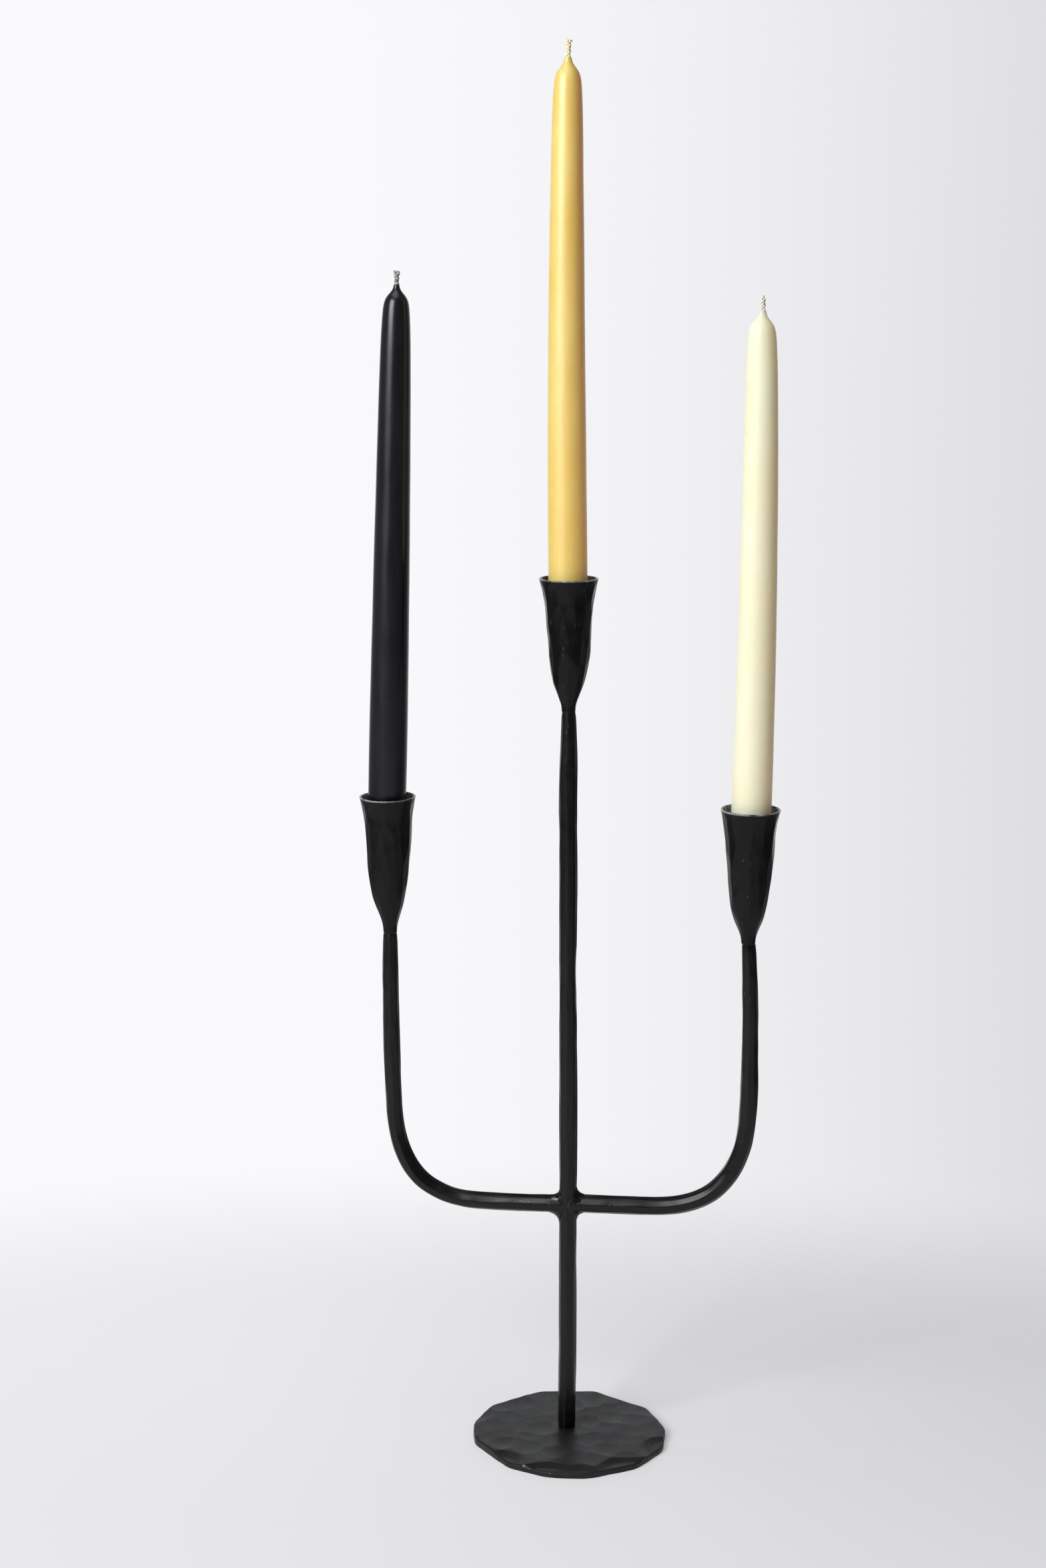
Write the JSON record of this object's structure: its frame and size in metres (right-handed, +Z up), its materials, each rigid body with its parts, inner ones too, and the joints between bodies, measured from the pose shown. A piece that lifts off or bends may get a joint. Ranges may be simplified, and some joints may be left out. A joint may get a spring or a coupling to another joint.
{
  "type": "candelabrum",
  "caption": "Hand-forged black iron candelabrum: round hammered foot, straight stem, two U-bent side arms and tulip cups holding lift-out dipped taper candles.",
  "frame": {"origin": "centre of the foot plate's underside, where it rests on the table", "axes": "+Z up along the stem; +X along the side arms towards the right-hand light; -Y towards the viewer"},
  "size_m": [0.2415, 0.1115, 0.8001],
  "materials": {
    "forged_iron": "blackened and waxed, satin, hammered",
    "plate_iron": "blackened and waxed, dull satin, hammered",
    "screw_steel": "zinc plated",
    "honey_wax": "dipped wax, soft sheen",
    "black_wax": "dipped wax, soft sheen, slight bloom",
    "ivory_wax": "dipped wax, soft sheen",
    "waxed_cotton": "braided cotton stiff with wax"
  },
  "bodies": {
    "holder": {"base_plate": "plate_iron", "base_screw": "screw_steel", "centre_stem": "forged_iron", "left_arm": "forged_iron", "right_arm": "forged_iron", "left_arm_weld": "forged_iron", "right_arm_weld": "forged_iron", "centre_cup": "forged_iron", "left_cup": "forged_iron", "right_cup": "forged_iron"},
    "centre_light": {"centre_candle": "honey_wax", "centre_wick": "waxed_cotton"},
    "left_light": {"left_candle": "black_wax", "left_wick": "waxed_cotton"},
    "right_light": {"right_candle": "ivory_wax", "right_wick": "waxed_cotton"}
  },
  "joints": [
    {"name": "centre_candle_lift", "type": "slide", "parent": "holder", "child": "centre_light", "axis": [-0.004, 0, 1], "range_m": [0, 0.06]},
    {"name": "left_candle_lift", "type": "slide", "parent": "holder", "child": "left_light", "axis": [0.0288, 0, 0.9996], "range_m": [0, 0.06]},
    {"name": "right_candle_lift", "type": "slide", "parent": "holder", "child": "right_light", "axis": [0.0063, 0, 1], "range_m": [0, 0.06]}
  ]
}
